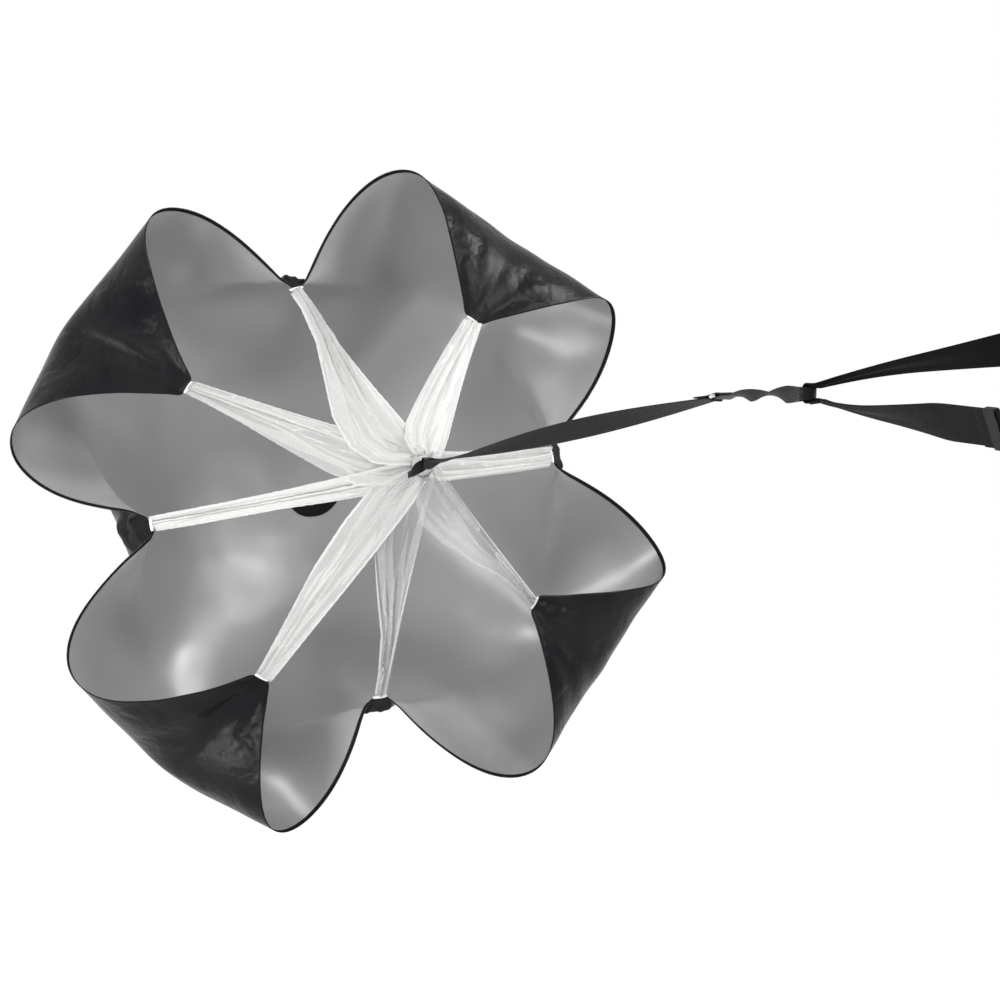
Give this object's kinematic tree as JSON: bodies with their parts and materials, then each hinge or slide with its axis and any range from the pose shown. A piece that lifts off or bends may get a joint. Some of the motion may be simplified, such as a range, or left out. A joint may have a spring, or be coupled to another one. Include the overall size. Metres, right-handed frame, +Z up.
{
  "type": "speed parachute",
  "caption": "Square fabric canopy held open by mesh bands and towed on a webbing tether from a quick-release waist belt, for resistance running.",
  "frame": {"origin": "middle of the waist loop", "axes": "+X the way the runner goes, with the canopy towed behind at -X; +Z up"},
  "size_m": [2.8943, 1.1525, 1.1779],
  "materials": {
    "sheet_nylon": "thin glossy nylon, black outside, a grey coating inside",
    "patch_fabric": "black woven nylon",
    "pouch_fabric": "black woven nylon",
    "band_mesh": "open white polyester mesh",
    "tab_webbing": "white woven tape",
    "strap_webbing": "black woven webbing",
    "belt_webbing": "black woven webbing",
    "ring_steel": "plated steel wire",
    "buckle_acetal": "moulded black acetal",
    "keeper_elastic": "black woven elastic"
  },
  "bodies": {
    "belt": {"belt_strap_socket_side": "belt_webbing", "buckle_socket": "buckle_acetal"},
    "plug_side": {"buckle_plug": "buckle_acetal", "belt_strap_plug_side": "belt_webbing"},
    "upper_arm": {"release_arm_upper": "buckle_acetal"},
    "lower_arm": {"release_arm_lower": "buckle_acetal"},
    "keeper": {"tail_keeper": "keeper_elastic"},
    "leader": {"leader_strap": "strap_webbing", "d_ring": "ring_steel"},
    "tether": {"tether_strap": "strap_webbing"},
    "canopy": {"band_gather": "band_mesh", "band_tab_1": "tab_webbing", "band_tab_2": "tab_webbing", "band_tab_3": "tab_webbing", "band_tab_4": "tab_webbing", "band_tab_5": "tab_webbing", "band_tab_6": "tab_webbing", "band_tab_7": "tab_webbing", "band_tab_8": "tab_webbing", "canopy": "sheet_nylon", "centre_pouch": "pouch_fabric", "corner_patch_2": "patch_fabric", "corner_patch_4": "patch_fabric", "corner_patch_6": "patch_fabric", "corner_patch_8": "patch_fabric", "gather_loop": "strap_webbing", "mesh_band_1": "band_mesh", "mesh_band_2": "band_mesh", "mesh_band_3": "band_mesh", "mesh_band_4": "band_mesh", "mesh_band_5": "band_mesh", "mesh_band_6": "band_mesh", "mesh_band_7": "band_mesh", "mesh_band_8": "band_mesh", "mid_edge_patch_1": "patch_fabric", "mid_edge_patch_3": "patch_fabric", "mid_edge_patch_5": "patch_fabric", "mid_edge_patch_7": "patch_fabric"}
  },
  "joints": [
    {"name": "yoke_swing", "type": "hinge", "parent": "belt", "child": "leader", "pos_m": [-0.29242, -0.18273, 0.0112], "axis": [0, 0, 1], "range_deg": [-50, 50]},
    {"name": "tether_swing", "type": "hinge", "parent": "leader", "child": "tether", "pos_m": [-0.51764, -0.2018, 0.03225], "axis": [0, 0, 1], "range_deg": [-30, 30]},
    {"name": "canopy_swing", "type": "hinge", "parent": "tether", "child": "canopy", "pos_m": [-1.67041, -0.29819, 0.05425], "axis": [0, 0, 1], "range_deg": [-20, 20]},
    {"name": "buckle_release", "type": "slide", "parent": "belt", "child": "plug_side", "axis": [0.455, -0.7569, -0.4692], "range_m": [0, 0.03]},
    {"name": "upper_arm_squeeze", "type": "hinge", "parent": "plug_side", "child": "upper_arm", "pos_m": [0.09029, 0.04562, 0.00885], "axis": [-0.8476, -0.5296, 0.0325], "range_deg": [0, 10], "stiffness_Nm_per_rad": 0.05, "deforming": ["release_arm_upper"]},
    {"name": "lower_arm_squeeze", "type": "hinge", "parent": "plug_side", "child": "lower_arm", "pos_m": [0.0821, 0.0571, -0.01762], "axis": [0.8476, 0.5296, -0.0325], "range_deg": [0, 10], "stiffness_Nm_per_rad": 0.05, "deforming": ["release_arm_lower"]},
    {"name": "keeper_slide", "type": "slide", "parent": "plug_side", "child": "keeper", "axis": [0.9615, 0.2234, -0.1602], "range_m": [0, 0.04]}
  ],
  "couplings": [
    {"joint": "lower_arm_squeeze", "follows": "upper_arm_squeeze", "ratio": 1}
  ]
}
